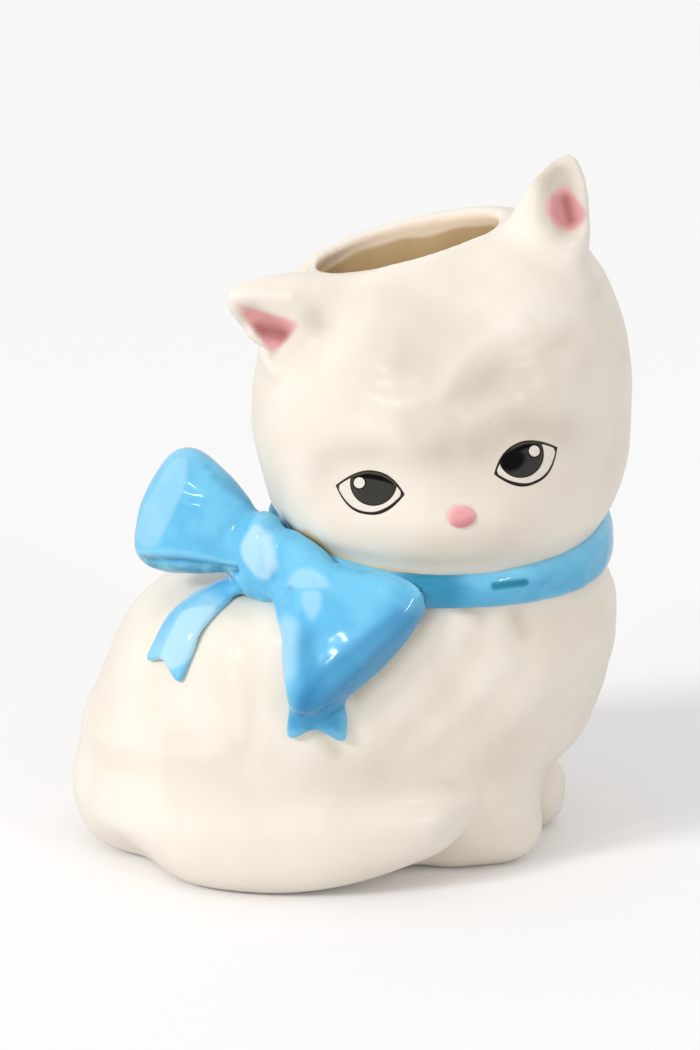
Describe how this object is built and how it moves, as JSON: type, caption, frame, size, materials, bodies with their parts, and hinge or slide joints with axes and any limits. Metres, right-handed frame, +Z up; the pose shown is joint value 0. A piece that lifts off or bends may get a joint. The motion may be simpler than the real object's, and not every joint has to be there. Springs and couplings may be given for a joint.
{
  "type": "cat-shaped flower vase",
  "caption": "Hollow glazed ceramic flower vase shaped as a sitting kitten with a ribbon bow, filled through a wide mouth in its crown.",
  "frame": {"origin": "point of the flat foot that the vase rests on, under the middle of its length and depth, on the table's plane", "axes": "+Z up, +X towards the kitten's chest, -Y towards the side that its face looks to"},
  "size_m": [0.1656, 0.125, 0.2111],
  "materials": {
    "ivory_glaze": "glossy warm ivory glaze over white earthenware",
    "blue_glaze": "high-gloss sky-blue glaze",
    "pink_glaze": "soft pink underglaze colour",
    "black_transfer": "glossy fired-on transfer",
    "white_transfer": "glossy fired-on transfer"
  },
  "bodies": {
    "root": {"body_shell": "ivory_glaze", "head_shell": "ivory_glaze", "right_ear": "ivory_glaze", "left_ear": "ivory_glaze", "tail": "ivory_glaze", "right_front_paw": "ivory_glaze", "left_front_paw": "ivory_glaze", "neck_ribbon": "blue_glaze", "bow_knot": "blue_glaze", "rear_bow_loop": "blue_glaze", "front_bow_loop": "blue_glaze", "rear_ribbon_end": "blue_glaze", "front_ribbon_end": "blue_glaze", "nose": "pink_glaze", "right_eye_print": "black_transfer", "left_eye_print": "black_transfer", "right_eye_white": "white_transfer", "right_eye_glint": "white_transfer", "left_eye_white": "white_transfer", "left_eye_glint": "white_transfer"}
  },
  "joints": []
}
